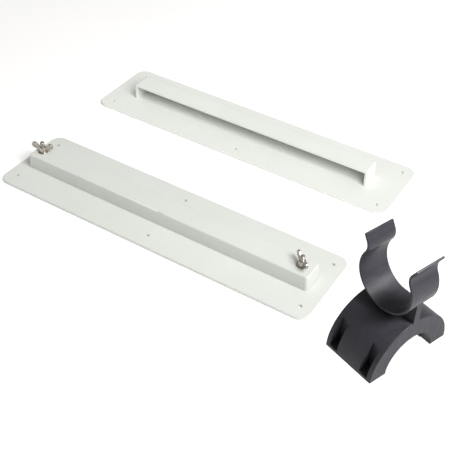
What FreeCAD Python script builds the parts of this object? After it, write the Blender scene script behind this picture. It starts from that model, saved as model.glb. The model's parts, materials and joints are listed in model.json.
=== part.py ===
import FreeCAD, Part
import os
import Sketcher

# Rod holder set: a flanged clamp tray with two wing nuts, a flanged hooded tray and a
# moulded saddle clip whose open C grips a rod. Millimetres and degrees, +Z up.
# The origin is the middle of the clamp tray's underside; +X runs along the trays.

SIZES = {
    # outlines of the two flanged trays, and what they share
    "clamp_tray_length": 400,
    "clamp_tray_depth": 102.5,
    "hooded_tray_length": 403,
    "hooded_tray_depth": 96.5,
    "plate_thick": 3,
    "plate_corner": 12,
    "wall": 2.5,
    "screw_hole": 4.5,
    "screw_pitch_long": 374,
    "screw_pitch_deep": 71,
    # raised box of the clamp tray
    "box_length": 371.5,
    "box_depth": 29.5,
    "box_height": 20,
    "box_shift": -2.25,
    "box_draft": 6,
    "box_corner": 3,
    "box_edge": 1.5,
    # hooded tray, beside the first, and its hood
    "hooded_x": -5,
    "hooded_y": 185.3,
    "hood_length": 330,
    "hood_depth": 27,
    "hood_height": 23,
    "hood_shift": -2,
    "hood_draft": 1.5,
    "hood_edge": 1.5,
    # M5 clamp screws with washers and rounded wing nuts
    "bolt_shift": -4,
    "bolt_place": 172,
    "bolt_radius": 2.5,
    "bolt_length": 16,
    "bolt_hole": 5.5,
    "head_flats": 8,
    "head_height": 3.5,
    "thread_pitch": 0.8,
    "thread_depth": 0.45,
    "thread_length": 14,
    "washer_radius": 6,
    "washer_bore": 2.65,
    "washer_thick": 1,
    "nut_bore": 2.55,
    "nut_foot": 4.4,
    "nut_crown": 3.7,
    "nut_height": 6,
    "wing_thick": 2.3,
    "wing_reach": 13.2,
    "wing_height": 11.3,
    "wing_lobe": 3.7,
    "wing_edge": 0.4,
    "left_nut_turn": 18,
    "right_nut_turn": -40,
    # saddle clip
    "clip_x": 275,
    "clip_y": -26,
    "clip_yaw": 70,
    "saddle_outer": 50,
    "saddle_inner": 29,
    "saddle_depth": 59,
    "saddle_edge": 0.8,
    "land_relief": 1,
    "land_inset": 12,
    "pocket_floor": 36.5,
    "pocket_inset": 4.8,
    "pocket_width": 10,
    "pocket_rim": 3.5,
    "web_thick": 7.2,
    "grip_height": 87,
    "grip_radius": 31.4,
    "band_thick": 2.2,
    "band_width": 34.5,
    "root_angle": 25,
    "root_gap": 0.3,
    "leave_angle": 30,
    "neck_radius": 14,
    "flare_radius": 12,
    "flare_angle": 30,
    "lip_length": 8,
}

BOLT_PLACES = {"left": "Sizes.bolt_shift - Sizes.bolt_place",
               "right": "Sizes.bolt_shift + Sizes.bolt_place"}

# Sketcher's numbers for the sketch axes and for the points of a curve
ORIGIN = -1
ALONG_X = -1
ALONG_Y = -2
START = 1
END = 2
CENTRE = 3

doc = FreeCAD.newDocument("rod_holder_set")
sheet = doc.addObject("Spreadsheet::Sheet", "Sizes")
pieces = []


def fill_sheet():
    """One row for each driving size: its name, and its value under that alias."""
    for row, (alias, value) in enumerate(SIZES.items(), start=1):
        sheet.set("A%d" % row, alias)
        sheet.set("B%d" % row, str(value))
        sheet.setAlias("B%d" % row, alias)
    doc.recompute()


def number(expression):
    """The present value of an expression in the sheet's cells."""
    value = sheet.evalExpression(expression)
    return float(getattr(value, "Value", value))


# ---- bodies, sketches and features ------------------------------------------------------

def new_body(label):
    body = doc.addObject("PartDesign::Body", label)
    body.Label = label
    pieces.append(body)
    return body


def put(thing, x="0", y="0", z="0", turn="0"):
    """Places a piece by expressions; the turn is about +Z."""
    thing.setExpression("Placement.Base.x", x)
    thing.setExpression("Placement.Base.y", y)
    thing.setExpression("Placement.Base.z", z)
    thing.setExpression("Placement.Rotation.Angle", turn)


def new_sketch(body, name, role, offset="0"):
    """A sketch on one of the body's own origin planes, moved along the plane's normal."""
    sketch = body.newObject("Sketcher::SketchObject", name)
    plane = next(item for item in body.Origin.OriginFeatures if item.Role == role)
    sketch.AttachmentSupport = (plane, [""])
    sketch.MapMode = "FlatFace"
    sketch.setExpression("AttachmentOffset.Base.z", offset)
    return sketch


def dimension(sketch, kind, references, expression):
    """A datum constraint that follows the sheet."""
    index = sketch.addConstraint(Sketcher.Constraint(kind, *references, number(expression)))
    sketch.setExpression("Constraints[%d]" % index, expression)


def relate(sketch, kind, *references):
    sketch.addConstraint(Sketcher.Constraint(kind, *references))


def locate(sketch, geometry, point, x, y):
    """Holds a point of the sketch at (x, y), each an expression."""
    if x == "0":
        relate(sketch, "PointOnObject", geometry, point, ALONG_Y)
    else:
        dimension(sketch, "DistanceX", (ORIGIN, 1, geometry, point), x)
    if y == "0":
        relate(sketch, "PointOnObject", geometry, point, ALONG_X)
    else:
        dimension(sketch, "DistanceY", (ORIGIN, 1, geometry, point), y)


def vector(x, y):
    return FreeCAD.Vector(number(x), number(y), 0)


def draw_polygon(sketch, corners):
    """A closed outline through corners, each a pair of expressions."""
    points = [vector(x, y) for x, y in corners]
    count = len(points)
    first = sketch.GeometryCount
    for index, point in enumerate(points):
        sketch.addGeometry(Part.LineSegment(point, points[(index + 1) % count]), False)
    for index, (x, y) in enumerate(corners):
        locate(sketch, first + index, START, x, y)
        relate(sketch, "Coincident", first + index, END, first + (index + 1) % count, START)


def draw_rectangle(sketch, left, right, low, high):
    draw_polygon(sketch, [(left, low), (right, low), (right, high), (left, high)])


def draw_circle(sketch, x, y, radius):
    circle = Part.Circle(vector(x, y), FreeCAD.Vector(0, 0, 1), number(radius))
    index = sketch.addGeometry(circle, False)
    locate(sketch, index, CENTRE, x, y)
    dimension(sketch, "Radius", (index,), radius)


def add_arc(sketch, x, y, radius, start, end):
    """An arc about (x, y), anticlockwise between two angles, as a first position."""
    circle = Part.Circle(vector(x, y), FreeCAD.Vector(0, 0, 1), number(radius))
    angles = [number("(%s) * pi / 180" % angle) for angle in (start, end)]
    index = sketch.addGeometry(Part.ArcOfCircle(circle, *angles), False)
    dimension(sketch, "Radius", (index,), radius)
    return index


def add_feature(body, kind, name, sketch, **settings):
    """A sketch-based feature; a setting given as text is an expression."""
    feature = body.newObject("PartDesign::" + kind, name)
    feature.Profile = sketch
    for prop, value in settings.items():
        if isinstance(value, str):
            feature.setExpression(prop, value)
        else:
            setattr(feature, prop, value)
    sketch.Visibility = False
    doc.recompute()
    return feature


def cut_feature(body, kind, name, sketch, **settings):
    """A feature that has to take material away."""
    before = body.Shape.Volume
    feature = add_feature(body, kind, name, sketch, **settings)
    if body.Shape.Volume >= before:
        raise RuntimeError("%s cuts nothing" % name)
    return feature


def dress_edges(body, kind, name, prop, expression, wanted):
    """A fillet or chamfer on every edge of the body for which wanted(edge) is true."""
    base = body.Tip
    names = ["Edge%d" % (i + 1) for i, edge in enumerate(base.Shape.Edges) if wanted(edge)]
    feature = body.newObject("PartDesign::" + kind, name)
    feature.Base = (base, names)
    feature.setExpression(prop, expression)
    doc.recompute()


def round_edges(body, name, radius, wanted):
    dress_edges(body, "Fillet", name, "Radius", radius, wanted)


def mirror_feature(body, name, original, role):
    plane = next(item for item in body.Origin.OriginFeatures if item.Role == role)
    mirrored = body.newObject("PartDesign::Mirrored", name)
    mirrored.Originals = [original]
    mirrored.MirrorPlane = (plane, [""])
    body.Tip = mirrored
    doc.recompute()


def edge_span(edge):
    """The lowest and highest corner of an edge, from points along it."""
    points = edge.discretize(9)
    low = [min(point[axis] for point in points) for axis in range(3)]
    high = [max(point[axis] for point in points) for axis in range(3)]
    return low, high


def lies_at(edge, axis, place, slack=0.01):
    """True where the whole edge stays at one height, depth or width."""
    low, high = edge_span(edge)
    return abs(low[axis] - place) < slack and abs(high[axis] - place) < slack


# ---- the two flanged trays --------------------------------------------------------------

def add_plate(body):
    """The flat flange with rounded corners. The sheet's cells for it start with the
    body's name."""
    cell = "Sizes." + body.Label
    sketch = new_sketch(body, body.Label + "_plate_outline", "XY_Plane")
    draw_rectangle(sketch, "-%s_length / 2" % cell, "%s_length / 2" % cell,
                   "-%s_depth / 2" % cell, "%s_depth / 2" % cell)
    add_feature(body, "Pad", body.Label + "_plate", sketch, Length="Sizes.plate_thick")
    round_edges(body, body.Label + "_plate_corners", "Sizes.plate_corner",
                lambda edge: edge_span(edge)[1][2] - edge_span(edge)[0][2] > 1)


def add_drafted_block(body, name):
    """A raised block on the flange, its four sides leaning in by the draft angle. The
    sheet's cells for it start with its name."""
    cell = "Sizes." + name
    sketch = new_sketch(body, name + "_outline", "XY_Plane", "Sizes.plate_thick")
    draw_rectangle(sketch, "%s_shift - %s_length / 2" % (cell, cell),
                   "%s_shift + %s_length / 2" % (cell, cell),
                   "-%s_depth / 2" % cell, "%s_depth / 2" % cell)
    add_feature(body, "Pad", name, sketch, Length=cell + "_height - Sizes.plate_thick",
                TaperAngle="-%s_draft" % cell)


def add_screw_holes(body):
    """Six screw holes: the four corners and the middle of each long side."""
    sketch = new_sketch(body, body.Label + "_screw_places", "XY_Plane")
    for x in ("-Sizes.screw_pitch_long / 2", "0", "Sizes.screw_pitch_long / 2"):
        for y in ("-Sizes.screw_pitch_deep / 2", "Sizes.screw_pitch_deep / 2"):
            draw_circle(sketch, x, y, "Sizes.screw_hole / 2")
    cut_feature(body, "Pocket", body.Label + "_screw_holes", sketch,
                Length="Sizes.plate_thick", Reversed=True)


def leans(edge):
    """True for the corner edges that climb a drafted block."""
    low, high = edge_span(edge)
    return low[2] > number("Sizes.plate_thick") - 0.1 and high[2] - low[2] > 5


def make_clamp_tray():
    """Flange and hollow raised box, open below, with a bolt hole near each end."""
    body = new_body("clamp_tray")
    add_plate(body)
    add_drafted_block(body, "box")
    round_edges(body, "box_corners", "Sizes.box_corner", leans)
    top = number("Sizes.box_height")
    round_edges(body, "box_top_edge", "Sizes.box_edge", lambda edge: lies_at(edge, 2, top))
    hollow = new_sketch(body, "hollow_outline", "XY_Plane")
    reach = "(Sizes.box_length / 2 - Sizes.wall)"
    draw_rectangle(hollow, "Sizes.box_shift - " + reach, "Sizes.box_shift + " + reach,
                   "Sizes.wall - Sizes.box_depth / 2", "Sizes.box_depth / 2 - Sizes.wall")
    cut_feature(body, "Pocket", "hollow", hollow, Reversed=True,
                Length="Sizes.box_height - Sizes.wall", TaperAngle="-Sizes.box_draft")
    bolts = new_sketch(body, "bolt_centres", "XY_Plane")
    for place in BOLT_PLACES.values():
        draw_circle(bolts, place, "0", "Sizes.bolt_hole / 2")
    cut_feature(body, "Pocket", "bolt_holes", bolts, Reversed=True,
                Length="Sizes.box_height")
    add_screw_holes(body)


def make_hooded_tray():
    """Flange and hood: a long block hollowed from the front, so that it has a mouth."""
    body = new_body("hooded_tray")
    add_plate(body)
    add_drafted_block(body, "hood")
    top = number("Sizes.hood_height")
    back = number("Sizes.hood_depth / 2")
    round_edges(body, "hood_corners", "Sizes.hood_edge",
                lambda edge: leans(edge) and edge_span(edge)[0][1] > 0)
    round_edges(body, "hood_top_edge", "Sizes.hood_edge",
                lambda edge: lies_at(edge, 2, top) and edge_span(edge)[1][1] > 2 - back)
    mouth = new_sketch(body, "mouth_outline", "XZ_Plane", "Sizes.hood_depth")
    reach = "(Sizes.hood_length / 2 - Sizes.wall)"
    rise = "(Sizes.hood_height - Sizes.wall)"
    lean = "(%s - Sizes.plate_thick) * tan(Sizes.hood_draft)" % rise
    draw_polygon(mouth, [("Sizes.hood_shift - " + reach, "Sizes.plate_thick"),
                         ("Sizes.hood_shift + " + reach, "Sizes.plate_thick"),
                         ("Sizes.hood_shift + %s - %s" % (reach, lean), rise),
                         ("Sizes.hood_shift - %s + %s" % (reach, lean), rise)])
    cut_feature(body, "Pocket", "mouth", mouth, Length="1.5 * Sizes.hood_depth - Sizes.wall")
    add_screw_holes(body)
    put(body, x="Sizes.hooded_x", y="Sizes.hooded_y")


# ---- clamp screws -----------------------------------------------------------------------

def make_bolt(side, place):
    """Hexagon head under the box top, threaded shank up through it."""
    body = new_body(side + "_clamp_bolt")
    head = new_sketch(body, side + "_head_outline", "XY_Plane")
    across = "Sizes.head_flats / sqrt(3)"
    corners = [("%s * cos(%d)" % (across, turn), "%s * sin(%d)" % (across, turn))
               for turn in range(30, 390, 60)]
    draw_polygon(head, corners)
    add_feature(body, "Pad", side + "_head", head, Length="Sizes.head_height", Reversed=True)
    shank = new_sketch(body, side + "_shank_outline", "XY_Plane")
    draw_circle(shank, "0", "0", "Sizes.bolt_radius")
    add_feature(body, "Pad", side + "_shank", shank, Length="Sizes.bolt_length")
    end = number("Sizes.bolt_length")
    dress_edges(body, "Chamfer", side + "_shank_end", "Size", "Sizes.thread_depth",
                lambda edge: lies_at(edge, 2, end))
    groove = new_sketch(body, side + "_thread_groove", "XZ_Plane")
    rise = "(Sizes.bolt_length - Sizes.thread_length)"
    outside = "Sizes.bolt_radius + 0.1"
    draw_polygon(groove, [("Sizes.bolt_radius - Sizes.thread_depth", rise),
                          (outside, rise + " - 0.42 * Sizes.thread_pitch"),
                          (outside, rise + " + 0.42 * Sizes.thread_pitch")])
    axis = next(item for item in body.Origin.OriginFeatures if item.Role == "Z_Axis")
    cut_feature(body, "SubtractiveHelix", side + "_thread", groove, Mode=0,
                ReferenceAxis=(axis, [""]), Pitch="Sizes.thread_pitch",
                Height="Sizes.thread_length + Sizes.thread_pitch")
    put(body, x=place, z="Sizes.box_height - Sizes.wall")


def make_washer(side, place):
    body = new_body(side + "_washer")
    sketch = new_sketch(body, side + "_washer_outline", "XY_Plane")
    draw_circle(sketch, "0", "0", "Sizes.washer_radius")
    draw_circle(sketch, "0", "0", "Sizes.washer_bore")
    add_feature(body, "Pad", side + "_washer_disc", sketch, Length="Sizes.washer_thick")
    put(body, x=place, z="Sizes.box_height")


def make_wing_nut(side, place, turn):
    """Tapered hub with a round-lobed wing on each side and a bore for the bolt."""
    body = new_body(side + "_wing_nut")
    hub = new_sketch(body, side + "_hub_outline", "XZ_Plane")
    draw_polygon(hub, [("0", "0"), ("Sizes.nut_foot", "0"),
                       ("Sizes.nut_crown", "Sizes.nut_height"), ("0", "Sizes.nut_height")])
    add_feature(body, "Revolution", side + "_hub", hub, ReferenceAxis=(hub, ["V_Axis"]))
    wing = new_sketch(body, side + "_wing_outline", "XZ_Plane")
    lobe_at = ("Sizes.wing_reach - Sizes.wing_lobe", "Sizes.wing_height - Sizes.wing_lobe")
    low = ("Sizes.nut_crown + 0.2", "0.15 * Sizes.nut_height")
    high = ("Sizes.nut_crown - 1", "Sizes.nut_height - 0.2")
    lobe = add_arc(wing, *lobe_at, "Sizes.wing_lobe", "-52", "155")
    locate(wing, lobe, CENTRE, *lobe_at)
    arc = wing.Geometry[lobe]
    under = wing.addGeometry(Part.LineSegment(vector(*low), arc.StartPoint), False)
    over = wing.addGeometry(Part.LineSegment(arc.EndPoint, vector(*high)), False)
    root = wing.addGeometry(Part.LineSegment(vector(*high), vector(*low)), False)
    relate(wing, "Tangent", under, END, lobe, START)
    relate(wing, "Tangent", lobe, END, over, START)
    locate(wing, under, START, *low)
    locate(wing, over, END, *high)
    relate(wing, "Coincident", over, END, root, START)
    relate(wing, "Coincident", root, END, under, START)
    pad = add_feature(body, "Pad", side + "_wing", wing, Length="Sizes.wing_thick",
                      Midplane=True)
    mirror_feature(body, side + "_wing_pair", pad, "YZ_Plane")
    bore = new_sketch(body, side + "_bore_outline", "XY_Plane")
    draw_circle(bore, "0", "0", "Sizes.nut_bore")
    cut_feature(body, "Pocket", side + "_bore", bore, Reversed=True,
                Length="2 * Sizes.nut_height")
    half = number("Sizes.wing_thick / 2")
    beyond = number("Sizes.nut_foot")
    round_edges(body, side + "_wing_edges", "Sizes.wing_edge",
                lambda edge: (lies_at(edge, 1, half) or lies_at(edge, 1, -half))
                and max(abs(point.x) for point in edge.discretize(5)) > beyond)
    put(body, x=place, z="Sizes.box_height + Sizes.washer_thick", turn=turn)


# ---- saddle clip ------------------------------------------------------------------------

def put_on_clip(body, half_turn="0"):
    """The clip's own frame: X across the arch, Y along the saddle, Z up from its feet."""
    put(body, x="Sizes.clip_x", y="Sizes.clip_y", turn="Sizes.clip_yaw + " + half_turn)


def draw_ring_sector(sketch, height, inner, outer, start, end):
    """A piece of ring about (0, height), between two angles in degrees."""
    rim = add_arc(sketch, "0", height, outer, start, end)
    bore = add_arc(sketch, "0", height, inner, start, end)
    arcs = {rim: outer, bore: inner}
    for arc, radius in arcs.items():
        locate(sketch, arc, CENTRE, "0", height)
        for point, angle in ((START, start), (END, end)):
            if height == "0":
                relate(sketch, "PointOnObject", arc, point, ALONG_X)
            else:
                dimension(sketch, "DistanceY", (arc, CENTRE, arc, point),
                          "(%s) * sin(%s)" % (radius, angle))
    for point in (START, END):
        ends = [sketch.getPoint(arc, point) for arc in arcs]
        line = sketch.addGeometry(Part.LineSegment(*ends), False)
        relate(sketch, "Coincident", line, START, rim, point)
        relate(sketch, "Coincident", line, END, bore, point)


def make_saddle():
    """Half-round saddle with side pockets, and the web that carries the grip."""
    body = new_body("saddle")
    arch = new_sketch(body, "arch_outline", "XZ_Plane")
    draw_ring_sector(arch, "0", "Sizes.saddle_inner", "Sizes.saddle_outer", "0", "180")
    add_feature(body, "Pad", "arch", arch, Length="Sizes.saddle_depth", Midplane=True)
    front = number("Sizes.saddle_depth / 2")
    outer = number("Sizes.saddle_outer")
    round_edges(body, "arch_rims", "Sizes.saddle_edge",
                lambda edge: (lies_at(edge, 1, front) or lies_at(edge, 1, -front))
                and edge_span(edge)[1][2] > outer - 0.5)
    for name, role in (("front", ""), ("back", "-")):
        relief = new_sketch(body, name + "_relief_outline", "XZ_Plane",
                            role + "Sizes.saddle_depth / 2")
        draw_circle(relief, "0", "0", "Sizes.saddle_inner + Sizes.land_relief")
        cut_feature(body, "Pocket", name + "_relief", relief, Reversed=role == "-",
                    Length="Sizes.land_inset")
    pockets = new_sketch(body, "pocket_outlines", "YZ_Plane", "Sizes.pocket_floor")
    near = "Sizes.saddle_depth / 2 - Sizes.pocket_inset"
    for left, right in ((near + " - Sizes.pocket_width", near),
                        ("-(%s)" % near, "Sizes.pocket_width - (%s)" % near)):
        draw_rectangle(pockets, left, right, "Sizes.pocket_rim", "Sizes.saddle_outer")
    cut = cut_feature(body, "Pocket", "right_pockets", pockets, Reversed=True,
                      Length="Sizes.saddle_outer")
    mirror_feature(body, "side_pockets", cut, "YZ_Plane")
    web = new_sketch(body, "web_outline", "YZ_Plane")
    draw_rectangle(web, "-Sizes.saddle_depth / 2", "Sizes.saddle_depth / 2",
                   "Sizes.saddle_outer - 2", "Sizes.grip_height")
    add_feature(body, "Pad", "web", web, Length="Sizes.web_thick", Midplane=True)
    seat = new_sketch(body, "grip_seat_outline", "YZ_Plane")
    draw_circle(seat, "0", "Sizes.grip_height", "Sizes.grip_radius + Sizes.band_thick / 2")
    cut_feature(body, "Pocket", "grip_seat", seat, Midplane=True, Length="Sizes.web_thick * 2")
    put_on_clip(body)


def make_cradle():
    """The fixed bottom of the C, along which the web holds it."""
    body = new_body("clip_cradle")
    sketch = new_sketch(body, "cradle_outline", "YZ_Plane")
    half = "Sizes.band_thick / 2"
    draw_ring_sector(sketch, "Sizes.grip_height", "Sizes.grip_radius - " + half,
                     "Sizes.grip_radius + " + half,
                     "180 + Sizes.root_angle", "360 - Sizes.root_angle")
    add_feature(body, "Pad", "cradle", sketch, Length="Sizes.band_width", Midplane=True)
    put_on_clip(body)


def add_arm_side(sketch, offset):
    """One side of the arm's band, offset from its middle line: the grip's arc, the neck's
    reverse arc, the flare and the straight lip, each tangent to the last."""
    radius = "(Sizes.grip_radius + %s)" % offset
    neck = "(Sizes.neck_radius - %s)" % offset
    flare = "(Sizes.flare_radius - %s)" % offset
    leave = "Sizes.leave_angle"
    reach = "(Sizes.grip_radius + Sizes.neck_radius)"
    neck_x = "%s * cos(%s)" % (reach, leave)
    neck_y = "Sizes.grip_height + %s * sin(%s)" % (reach, leave)
    flare_x = "%s - Sizes.neck_radius + Sizes.flare_radius" % neck_x
    root = "Sizes.root_gap / Sizes.grip_radius * 180 / pi - Sizes.root_angle"
    grip_arc = add_arc(sketch, "0", "Sizes.grip_height", radius, root, leave)
    neck_arc = add_arc(sketch, neck_x, neck_y, neck, "180", "180 + " + leave)
    flare_arc = add_arc(sketch, flare_x, neck_y, flare, "180 - Sizes.flare_angle", "180")
    lip_start = sketch.getPoint(flare_arc, START)
    lip_way = vector("Sizes.lip_length * sin(Sizes.flare_angle)",
                     "Sizes.lip_length * cos(Sizes.flare_angle)")
    lip = sketch.addGeometry(Part.LineSegment(lip_start, lip_start + lip_way), False)
    locate(sketch, grip_arc, CENTRE, "0", "Sizes.grip_height")
    dimension(sketch, "DistanceY", (grip_arc, CENTRE, grip_arc, START),
              "%s * sin(%s)" % (radius, root))
    dimension(sketch, "DistanceY", (grip_arc, CENTRE, grip_arc, END),
              "%s * sin(%s)" % (radius, leave))
    relate(sketch, "Tangent", grip_arc, END, neck_arc, END)
    relate(sketch, "Horizontal", neck_arc, CENTRE, neck_arc, START)
    relate(sketch, "Tangent", neck_arc, START, flare_arc, END)
    dimension(sketch, "DistanceY", (flare_arc, CENTRE, flare_arc, START),
              "%s * sin(Sizes.flare_angle)" % flare)
    relate(sketch, "Tangent", flare_arc, START, lip, START)
    dimension(sketch, "Distance", (lip, START, lip, END), "Sizes.lip_length")
    return grip_arc, lip


def make_arm(label, half_turn):
    """An arm of the C, from its root past the neck to the flared lip."""
    body = new_body(label)
    sketch = new_sketch(body, label + "_outline", "YZ_Plane")
    outer_arc, outer_lip = add_arm_side(sketch, "Sizes.band_thick / 2")
    inner_arc, inner_lip = add_arm_side(sketch, "-Sizes.band_thick / 2")
    for one, two, point in ((outer_arc, inner_arc, START), (outer_lip, inner_lip, END)):
        ends = [sketch.getPoint(item, point) for item in (one, two)]
        cap = sketch.addGeometry(Part.LineSegment(*ends), False)
        relate(sketch, "Coincident", cap, START, one, point)
        relate(sketch, "Coincident", cap, END, two, point)
    add_feature(body, "Pad", label + "_band", sketch, Length="Sizes.band_width",
                Midplane=True)
    put_on_clip(body, half_turn)


# ---- the set ----------------------------------------------------------------------------

def check_and_write():
    """Stops at any failed object or bad shape, then writes one STEP file a piece."""
    doc.recompute()
    failed = [item.Label for item in doc.Objects
              if "Invalid" in item.State or "Error" in item.State]
    bad = [piece.Label for piece in pieces
           if piece.Shape.isNull() or not piece.Shape.isValid() or not piece.Shape.Solids]
    if failed or bad:
        raise RuntimeError("failed objects %s, bad shapes %s" % (failed, bad))
    os.makedirs("parts", exist_ok=True)
    for piece in pieces:
        piece.Shape.exportStep("parts/%s.step" % piece.Label)
        box = piece.Shape.BoundBox
        print("%-18s %8.1f mm3  %6.1f x %6.1f x %6.1f" % (
            piece.Label, piece.Shape.Volume, box.XLength, box.YLength, box.ZLength))


fill_sheet()
make_clamp_tray()
make_hooded_tray()
for side, place in BOLT_PLACES.items():
    make_bolt(side, place)
    make_washer(side, place)
    make_wing_nut(side, place, "Sizes.%s_nut_turn" % side)
make_saddle()
make_cradle()
make_arm("clip_rear_arm", "0")
make_arm("clip_front_arm", "180")
check_and_write()
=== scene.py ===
import json
import math

import bmesh
import bpy
from mathutils import Matrix, Vector


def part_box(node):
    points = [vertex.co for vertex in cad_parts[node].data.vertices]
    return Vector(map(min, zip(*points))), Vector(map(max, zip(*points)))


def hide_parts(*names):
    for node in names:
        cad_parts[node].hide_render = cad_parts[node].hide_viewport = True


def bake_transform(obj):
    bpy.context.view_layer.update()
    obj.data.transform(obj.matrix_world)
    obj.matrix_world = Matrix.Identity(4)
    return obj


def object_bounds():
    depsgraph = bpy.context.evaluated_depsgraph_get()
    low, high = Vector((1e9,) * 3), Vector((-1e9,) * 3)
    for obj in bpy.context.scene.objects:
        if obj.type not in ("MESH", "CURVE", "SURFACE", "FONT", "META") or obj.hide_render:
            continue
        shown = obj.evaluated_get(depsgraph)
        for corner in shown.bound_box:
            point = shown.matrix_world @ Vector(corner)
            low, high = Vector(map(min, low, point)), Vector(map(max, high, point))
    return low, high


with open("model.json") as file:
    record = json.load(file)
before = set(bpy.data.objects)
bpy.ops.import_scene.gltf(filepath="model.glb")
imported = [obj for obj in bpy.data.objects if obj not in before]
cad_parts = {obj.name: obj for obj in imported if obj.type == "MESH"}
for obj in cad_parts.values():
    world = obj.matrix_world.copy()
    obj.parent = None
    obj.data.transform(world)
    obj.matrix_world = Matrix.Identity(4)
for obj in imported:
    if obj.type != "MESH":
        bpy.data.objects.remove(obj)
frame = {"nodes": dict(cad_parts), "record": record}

# The rod holder set: white flanged trays, stainless wing nuts and a dark saddle clip. The CAD
# nodes keep their shapes and get procedural finishes; the clip's open C is rebuilt as two
# halves, because its arms spring outward. Metres, in the imported part's frame.

CAD_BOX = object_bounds()
UP = Vector((0, 0, 1))
MM = 0.001

# The band of the C, as in the CAD model
BAND_THICK = 2.2 * MM
BAND_LEAVE = math.radians(30)
NECK_RADIUS = 14 * MM
FLARE_RADIUS = 12 * MM
FLARE_TURN = math.radians(30)
LIP_LENGTH = 8 * MM

# Small details of the band
EDGE_ROUND = 0.45 * MM
TIP_ROUND = 0.55 * MM
SEAM_HEIGHT = 0.06 * MM
SEAM_HALF = 0.3 * MM
SEAM_SUPPORT = 0.45 * MM

# Finishes, as linear colours
WHITE_LOW = (0.690, 0.712, 0.676)
WHITE_HIGH = (0.715, 0.738, 0.702)
WHITE_EDGE = (0.78, 0.80, 0.775)
WHITE_SPECK = (0.60, 0.61, 0.57)
# Painted shade colour: holes, tight corners and the bottom of the trays darken towards it
WHITE_PAINTED_SHADE = (0.22, 0.225, 0.21)
DARK_LOW = (0.0145, 0.0141, 0.0190)
DARK_HIGH = (0.0195, 0.0189, 0.0258)
DARK_EDGE = (0.034, 0.034, 0.041)
DARK_DUST = (0.038, 0.037, 0.040)
STEEL_LOW = (0.44, 0.40, 0.36)
STEEL_HIGH = (0.56, 0.53, 0.49)
STEEL_EDGE = (0.80, 0.78, 0.74)
FLOOR_LOW = (0.93, 0.93, 0.93)
FLOOR_HIGH = (0.95, 0.95, 0.95)
FLOOR_GLOW = 0.15

# The floor and the soft surroundings
FLOOR_HALF = 6.0
FLOOR_DROP = 0.2 * MM
WORLD_LOW = (0.50, 0.48, 0.46)
WORLD_HIGH = (1.0, 1.0, 1.0)
WORLD_STRENGTH = 0.53

# Key lights: azimuth and elevation in degrees, distance and disk size in metres, watts
KEY_COLOUR = (1.0, 0.99, 0.975)
CLAMP_KEY = (-10, 49, 1.9, 1.1, 36)
HOOD_KEY = (-28, 43, 3.0, 2.37, 127)
CLIP_KEY = (-3, 49, 1.9, 0.75, 92)
AIM_HEIGHT = 0.02

# The camera: place, level heading, angles in radians, lens and frame shift
CAMERA_PLACE = Vector((441.2, -592.7, 640.1)) * MM
CAMERA_HEADING = Vector((-0.530, 0.848, 0)).normalized()
CAMERA_PITCH = 0.7015
CAMERA_ROLL = 0.0216
CAMERA_LENS = 70.86
CAMERA_SENSOR = 36.0
CAMERA_SHIFT = (0.008, -0.037)
CAMERA_REACH = 50


# ---- shader helpers ---------------------------------------------------------------------

def new_material(name):
    """A material with an empty tree, its output and a Principled shader."""
    material = bpy.data.materials.new(name)
    material.use_nodes = True
    tree = material.node_tree
    tree.nodes.clear()
    output = tree.nodes.new("ShaderNodeOutputMaterial")
    shader = tree.nodes.new("ShaderNodeBsdfPrincipled")
    tree.links.new(shader.outputs["BSDF"], output.inputs["Surface"])
    return material, tree, shader


def add_node(tree, kind, settings=(), values=(), links=()):
    """A shader node with its settings, socket values and incoming links."""
    node = tree.nodes.new("ShaderNode" + kind)
    for name, value in dict(settings).items():
        setattr(node, name, value)
    for name, value in dict(values).items():
        node.inputs[name].default_value = value
    for name, socket in dict(links).items():
        tree.links.new(socket, node.inputs[name])
    return node


def object_points(tree, stretch=(1, 1, 1)):
    """Object coordinates in metres, stretched per axis."""
    places = add_node(tree, "TexCoord")
    mapping = add_node(tree, "Mapping", values={"Scale": stretch},
                       links={"Vector": places.outputs["Object"]})
    return mapping.outputs["Vector"]


def noise(tree, points, scale, detail=3.0, roughness=0.55):
    """Noise between 0 and 1; scale is in features a metre."""
    node = add_node(tree, "TexNoise",
                    values={"Scale": scale, "Detail": detail, "Roughness": roughness},
                    links={"Vector": points})
    return node.outputs["Fac"]


def spread(tree, value, low, high, start=0.3, end=0.7):
    """The value, between start and end, mapped onto low to high."""
    node = add_node(tree, "MapRange",
                    values={"From Min": start, "From Max": end, "To Min": low, "To Max": high},
                    links={"Value": value})
    return node.outputs["Result"]


def blend_colours(tree, factor, low, high):
    """A colour from low to high as the factor goes from 0 to 1."""
    node = add_node(tree, "ValToRGB", links={"Fac": factor})
    node.color_ramp.elements[0].color = (*low, 1)
    node.color_ramp.elements[1].color = (*high, 1)
    return node.outputs["Color"]


def tint(tree, base, over, factor):
    """The base colour with another mixed over it by a factor socket."""
    node = add_node(tree, "Mix", settings={"data_type": "RGBA"})
    tree.links.new(factor, node.inputs["Factor"])
    tree.links.new(base, node.inputs["A"])
    node.inputs["B"].default_value = (*over, 1)
    return node.outputs["Result"]


def edge_factor(tree, radius, strength):
    """About 0 on flat faces and up to 1 along edges, from how far a rounded normal turns."""
    rounded = add_node(tree, "Bevel", settings={"samples": 4}, values={"Radius": radius})
    flat = add_node(tree, "NewGeometry")
    turn = add_node(tree, "VectorMath", settings={"operation": "DOT_PRODUCT"})
    tree.links.new(rounded.outputs["Normal"], turn.inputs[0])
    tree.links.new(flat.outputs["Normal"], turn.inputs[1])
    return spread(tree, turn.outputs["Value"], 0, strength, start=0.999, end=0.8)


def painted_hollow_shade(tree, reach):
    """0 in the open and up to 1 deep in a hole or a tight corner: painted shade, taken from
    ambient occlusion.
    """
    shade = add_node(tree, "AmbientOcclusion", settings={"samples": 6, "only_local": True},
                     values={"Distance": reach})
    return spread(tree, shade.outputs["AO"], 0, 1, start=0.45, end=0.20)


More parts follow.
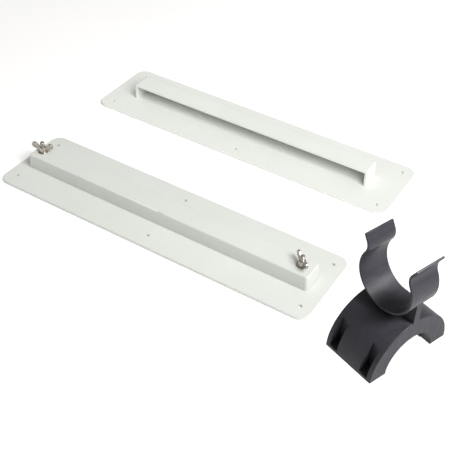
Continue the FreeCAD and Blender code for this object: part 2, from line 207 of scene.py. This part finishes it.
def layered_bump(tree, layers, edge_radius):
    """Bumps laid on each other over a softened edge; each layer is (height, depth)."""
    soft = add_node(tree, "Bevel", settings={"samples": 4}, values={"Radius": edge_radius})
    normal = soft.outputs["Normal"]
    for height, depth in layers:
        bump = add_node(tree, "Bump", values={"Strength": 1.0, "Distance": depth},
                        links={"Height": height, "Normal": normal})
        normal = bump.outputs["Normal"]
    return normal


# ---- finishes ---------------------------------------------------------------------------

def white_plastic():
    """Satin white sheet plastic: faint mottling, a slight orange peel and worn edges, with
    painted shade in holes, in tight corners and along the bottom.
    """
    material, tree, shader = new_material("white_plastic_finish")
    points = object_points(tree)
    cloud = noise(tree, points, 14)
    smear = noise(tree, object_points(tree, (1, 6, 1)), 38, 5)
    colour = blend_colours(tree, spread(tree, cloud, 0, 1), WHITE_LOW, WHITE_HIGH)
    colour = tint(tree, colour, WHITE_EDGE, edge_factor(tree, 0.6 * MM, 0.4))
    # Painted shade in holes and tight corners, from ambient occlusion
    colour = tint(tree, colour, WHITE_PAINTED_SHADE, painted_hollow_shade(tree, 4 * MM))
    # Painted shade along the bottom: the lowest 2 mm of the trays darken, where they meet the
    # floor
    height = add_node(tree, "SeparateXYZ", links={"Vector": points}).outputs["Z"]
    painted_foot_shade = spread(tree, height, 0.15, 0, start=0.2 * MM, end=2.2 * MM)
    colour = tint(tree, colour, WHITE_PAINTED_SHADE, painted_foot_shade)
    specks = spread(tree, noise(tree, points, 420, 2), 0, 0.5, start=0.70, end=0.78)
    colour = tint(tree, colour, WHITE_SPECK, specks)
    tree.links.new(colour, shader.inputs["Base Color"])
    tree.links.new(spread(tree, smear, 0.30, 0.46), shader.inputs["Roughness"])
    shader.inputs["Specular IOR Level"].default_value = 0.42
    shader.inputs["Coat Weight"].default_value = 0.12
    shader.inputs["Coat Roughness"].default_value = 0.18
    peel = noise(tree, points, 260, 2)
    grain = noise(tree, points, 2400, 2)
    waves = noise(tree, points, 22, 1)
    normal = layered_bump(tree, ((waves, 0.5 * MM), (peel, 0.020 * MM), (grain, 0.004 * MM)),
                          0.6 * MM)
    tree.links.new(normal, shader.inputs["Normal"])
    return material


def charcoal_plastic(name, dull, grain_depth, streaks):
    """Dark moulded nylon: fine spark-eroded grain, flow streaks and paler, rubbed edges."""
    material, tree, shader = new_material(name)
    points = object_points(tree)
    cloud = noise(tree, points, 45, 4)
    flow = noise(tree, object_points(tree, streaks), 60, 4)
    both = add_node(tree, "Math", settings={"operation": "MULTIPLY_ADD"})
    both.inputs[1].default_value = 0.5
    tree.links.new(cloud, both.inputs[0])
    half_flow = spread(tree, flow, 0, 0.5, start=0, end=1)
    tree.links.new(half_flow, both.inputs[2])
    colour = blend_colours(tree, spread(tree, both.outputs["Value"], 0, 1, 0.35, 0.65),
                           DARK_LOW, DARK_HIGH)
    colour = tint(tree, colour, DARK_EDGE, edge_factor(tree, 0.7 * MM, 0.3))
    dust = spread(tree, noise(tree, points, 700, 3), 0, 0.35, start=0.66, end=0.76)
    colour = tint(tree, colour, DARK_DUST, dust)
    tree.links.new(colour, shader.inputs["Base Color"])
    tree.links.new(spread(tree, flow, dull - 0.06, dull + 0.08), shader.inputs["Roughness"])
    shader.inputs["Specular IOR Level"].default_value = 0.3
    grain = noise(tree, points, 1500, 3, 0.7)
    ripple = noise(tree, object_points(tree, streaks), 120, 2)
    normal = layered_bump(tree, ((ripple, 0.05 * MM), (grain, grain_depth)), 0.5 * MM)
    tree.links.new(normal, shader.inputs["Normal"])
    return material


def stainless(name, centre=None):
    """Polished stainless with fine scratches; around a screw's axis it shows turning marks."""
    material, tree, shader = new_material(name)
    points = object_points(tree)
    stain = noise(tree, points, 300, 4)
    scratch = noise(tree, object_points(tree, (1, 1, 14)), 900, 5, 0.7)
    colour = blend_colours(tree, spread(tree, stain, 0, 1), STEEL_LOW, STEEL_HIGH)
    colour = tint(tree, colour, STEEL_EDGE, edge_factor(tree, 0.35 * MM, 0.8))
    tree.links.new(colour, shader.inputs["Base Color"])
    shader.inputs["Metallic"].default_value = 1.0
    tree.links.new(spread(tree, scratch, 0.22, 0.34), shader.inputs["Roughness"])
    layers = [(scratch, 0.002 * MM), (noise(tree, points, 260, 1), 0.05 * MM)]
    if centre is not None:
        places = add_node(tree, "TexCoord")
        local = add_node(tree, "Mapping", values={"Location": (-centre.x, -centre.y, 0)},
                         links={"Vector": places.outputs["Object"]})
        rings = add_node(tree, "TexWave",
                         settings={"wave_type": "RINGS", "rings_direction": "Z"},
                         values={"Scale": 420.0, "Distortion": 0.6, "Detail": 2.0},
                         links={"Vector": local.outputs["Vector"]})
        layers.append((rings.outputs["Fac"], 0.003 * MM))
    tree.links.new(layered_bump(tree, layers, 0.25 * MM), shader.inputs["Normal"])
    return material


def floor_finish():
    """Matt near-white studio floor with the faintest mottling."""
    material, tree, shader = new_material("floor_finish")
    cloud = noise(tree, object_points(tree), 3)
    colour = blend_colours(tree, spread(tree, cloud, 0, 1), FLOOR_LOW, FLOOR_HIGH)
    tree.links.new(colour, shader.inputs["Base Color"])
    shader.inputs["Roughness"].default_value = 0.9
    shader.inputs["Specular IOR Level"].default_value = 0.1
    shader.inputs["Emission Color"].default_value = (1, 1, 1, 1)
    shader.inputs["Emission Strength"].default_value = FLOOR_GLOW
    return material


def finish_node(name, material):
    """Puts a finish on every material slot of a CAD node."""
    mesh = frame["nodes"][name].data
    if not mesh.materials:
        mesh.materials.append(material)
    for index in range(len(mesh.materials)):
        mesh.materials[index] = material


def middle(name):
    low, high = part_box(name)
    return (low + high) / 2


# ---- the open C -------------------------------------------------------------------------

def find_mount(name):
    return next(mount for mount in frame["record"]["mounts"] if mount["name"] == name)


class Grip:
    """The C's frame and sizes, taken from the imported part's rod grip."""

    def __init__(self):
        mount = find_mount("rod_grip")
        self.centre = Vector(mount["pos_m"])
        self.across = Vector(mount["axis"]).normalized()
        self.along = UP.cross(self.across)
        self.radius = mount["dims"]["r_mm"] * MM + BAND_THICK / 2
        self.half_width = mount["dims"]["length_mm"] * MM / 2

    def point(self, side, width, out, up):
        """A point on one side of the C: out from its middle plane, up from its axis."""
        return (self.centre + self.across * (width * side) + self.along * (out * side)
                + UP * up)


def arc_run(centre, radius, start, end, steps):
    """Points and outward normals along an arc, without its last point."""
    for step in range(steps):
        angle = start + (end - start) * step / steps
        way = Vector((math.cos(angle), math.sin(angle)))
        yield centre + way * radius, way


def band_line(radius):
    """The middle line of one half of the band, as points with the side facing outward."""
    line = list(arc_run(Vector((0, 0)), radius, -math.pi / 2, BAND_LEAVE, 64))
    reach = radius + NECK_RADIUS
    neck = Vector((reach * math.cos(BAND_LEAVE), reach * math.sin(BAND_LEAVE)))
    for point, way in arc_run(neck, NECK_RADIUS, math.pi + BAND_LEAVE, math.pi, 14):
        line.append((point, -way))
    flare = neck + Vector((FLARE_RADIUS - NECK_RADIUS, 0))
    for point, way in arc_run(flare, FLARE_RADIUS, math.pi, math.pi - FLARE_TURN, 12):
        line.append((point, -way))
    last = Vector((-math.cos(FLARE_TURN), math.sin(FLARE_TURN)))
    ahead = Vector((last.y, -last.x))
    start = flare + last * FLARE_RADIUS
    straight = LIP_LENGTH - TIP_ROUND
    for step in range(7):
        line.append((start + ahead * straight * step / 6, -last))
    return line, start + ahead * straight, ahead, -last


def band_section(half_width, inset):
    """The band's section as (width, thickness) pairs: rounded corners, and on each broad face
    a faint parting ridge. The points beside corners and ridge keep the face between flat."""
    wide = half_width - inset
    thick = BAND_THICK / 2 - inset
    corner = max(EDGE_ROUND - inset, 0.08 * MM)
    ridge = SEAM_HEIGHT if inset == 0 else 0.0
    flat_end = wide - corner - 0.2 * MM
    stations = (flat_end, SEAM_SUPPORT, SEAM_HALF, 0.0, -SEAM_HALF, -SEAM_SUPPORT, -flat_end)
    section = []
    for turn, (x, y) in enumerate(((1, -1), (1, 1), (-1, 1), (-1, -1))):
        for step in range(5):
            angle = math.radians(turn * 90 - 90 + step * 22.5)
            section.append((x * (wide - corner) + corner * math.cos(angle),
                            y * (thick - corner) + corner * math.sin(angle)))
        if turn in (1, 3):
            section += [(x * across, y * (thick + (ridge if across == 0 else 0)))
                        for across in stations]
    return section


def build_band(grip, side, name):
    """One half of the C's band, swept from under the rod up to the lip."""
    line, tip, ahead, tip_way = band_line(grip.radius)
    rings = [(point, way, 0.0) for point, way in line]
    for step in range(1, 5):
        angle = math.radians(step * 22.5)
        rings.append((tip + ahead * TIP_ROUND * math.sin(angle), tip_way,
                      TIP_ROUND * (1 - math.cos(angle))))
    mesh = bmesh.new()
    loops = []
    for point, way, inset in rings:
        loops.append([
            mesh.verts.new(grip.point(side, width, point.x + way.x * thick,
                                      point.y + way.y * thick))
            for width, thick in band_section(grip.half_width, inset)])
    count = len(loops[0])
    for lower, upper in zip(loops, loops[1:]):
        for index in range(count):
            after = (index + 1) % count
            mesh.faces.new((lower[index], lower[after], upper[after], upper[index]))
    mesh.faces.new(loops[0])
    mesh.faces.new(loops[-1])
    bmesh.ops.recalc_face_normals(mesh, faces=mesh.faces)
    data = bpy.data.meshes.new(name)
    mesh.to_mesh(data)
    mesh.free()
    data.polygons.foreach_set("use_smooth", [True] * len(data.polygons))
    data.set_sharp_from_angle(angle=math.radians(50))
    band = bpy.data.objects.new(name, data)
    bpy.context.scene.collection.objects.link(band)
    return band


def add_grip(material):
    """Both halves of the C, bending from the saddle's cradle into the arms."""
    grip = Grip()
    bands = []
    for side, name, arm in ((1, "rear_band", "clip_rear_arm"),
                            (-1, "front_band", "clip_front_arm")):
        band = build_band(grip, side, name)
        band.data.materials.append(material)
        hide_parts("clip_cradle", arm)
        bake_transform(band)
        bands.append(band)
    return bands


# ---- studio -----------------------------------------------------------------------------

def add_floor():
    """A wide floor just below the set."""
    mesh = bpy.data.meshes.new("floor")
    corners = [(x * FLOOR_HALF, y * FLOOR_HALF, -FLOOR_DROP)
               for x, y in ((-1, -1), (1, -1), (1, 1), (-1, 1))]
    mesh.from_pydata(corners, [], [(0, 1, 2, 3)])
    floor = bpy.data.objects.new("floor", mesh)
    floor.data.materials.append(floor_finish())
    bpy.context.scene.collection.objects.link(floor)
    return floor


def collect(name, things):
    """The things as a named collection, for light linking."""
    group = bpy.data.collections.new(name)
    for thing in things:
        group.objects.link(thing)
    return group


def add_key_light(name, centre, azimuth, elevation, distance, size, power, lit, shading):
    """A soft disk that looks at the set from a direction in degrees; azimuth 0 is from +X and
    90 from +Y. It reaches only the lit pieces, and only the shading ones cast its shadows."""
    around, above = math.radians(azimuth), math.radians(elevation)
    way = Vector((math.cos(around) * math.cos(above), math.sin(around) * math.cos(above),
                  math.sin(above)))
    light = bpy.data.lights.new(name, "AREA")
    light.shape = "DISK"
    light.size = size
    light.energy = power
    light.color = KEY_COLOUR
    lamp = bpy.data.objects.new(name, light)
    lamp.location = centre + way * distance
    lamp.rotation_euler = (-way).to_track_quat("-Z", "Y").to_euler()
    bpy.context.scene.collection.objects.link(lamp)
    lamp.light_linking.receiver_collection = collect(name + "_lit", lit)
    lamp.light_linking.blocker_collection = collect(name + "_shading", shading)


def add_world():
    """Soft white surroundings, a little darker towards the horizon."""
    world = bpy.data.worlds.new("studio")
    bpy.context.scene.world = world
    world.use_nodes = True
    tree = world.node_tree
    places = add_node(tree, "TexCoord")
    split = add_node(tree, "SeparateXYZ", links={"Vector": places.outputs["Generated"]})
    ramp = add_node(tree, "ValToRGB", links={"Fac": split.outputs["Z"]})
    ramp.color_ramp.elements[0].color = (*WORLD_LOW, 1)
    ramp.color_ramp.elements[1].color = (*WORLD_HIGH, 1)
    background = tree.nodes["Background"]
    tree.links.new(ramp.outputs["Color"], background.inputs["Color"])
    background.inputs["Strength"].default_value = WORLD_STRENGTH


def add_camera():
    """Looks down at the set from its front right, nearly level."""
    ahead = CAMERA_HEADING * math.cos(CAMERA_PITCH) - UP * math.sin(CAMERA_PITCH)
    level_right = CAMERA_HEADING.cross(UP)
    level_up = level_right.cross(ahead)
    right = level_right * math.cos(CAMERA_ROLL) + level_up * math.sin(CAMERA_ROLL)
    up = level_up * math.cos(CAMERA_ROLL) - level_right * math.sin(CAMERA_ROLL)
    data = bpy.data.cameras.new("camera")
    data.lens = CAMERA_LENS
    data.sensor_width = CAMERA_SENSOR
    data.shift_x, data.shift_y = CAMERA_SHIFT
    data.clip_end = CAMERA_REACH
    camera = bpy.data.objects.new("camera", data)
    turn = Matrix((right, up, -ahead)).transposed().to_4x4()
    camera.matrix_world = Matrix.Translation(CAMERA_PLACE) @ turn
    bpy.context.scene.collection.objects.link(camera)
    bpy.context.scene.camera = camera


white = white_plastic()
for tray in ("clamp_tray", "hooded_tray"):
    finish_node(tray, white)
for side in ("left", "right"):
    axis = middle(side + "_washer")
    finish_node(side + "_washer", stainless(side + "_washer_steel", axis))
    finish_node(side + "_wing_nut", stainless(side + "_nut_steel"))
    finish_node(side + "_clamp_bolt", stainless(side + "_bolt_steel", axis))
finish_node("saddle", charcoal_plastic("saddle_finish", 0.50, 0.030 * MM, (3, 3, 1)))
bands = add_grip(charcoal_plastic("band_finish", 0.40, 0.012 * MM, (1, 1, 5)))

floor = add_floor()
add_world()
aim = (CAD_BOX[0] + CAD_BOX[1]) / 2
aim.z = AIM_HEIGHT
nodes = frame["nodes"]
clip = [nodes["saddle"], *bands]
hooded = [nodes["hooded_tray"]]
clamped = [node for name, node in nodes.items()
           if name == "clamp_tray" or name.startswith(("left_", "right_"))]
add_key_light("clamp_key", aim, *CLAMP_KEY, [*clamped, floor], [*clamped, *hooded])
add_key_light("hood_key", aim, *HOOD_KEY, hooded, hooded)
add_key_light("clip_key", aim, *CLIP_KEY, clip, clip)
bpy.context.scene.view_settings.view_transform = "Standard"
add_camera()
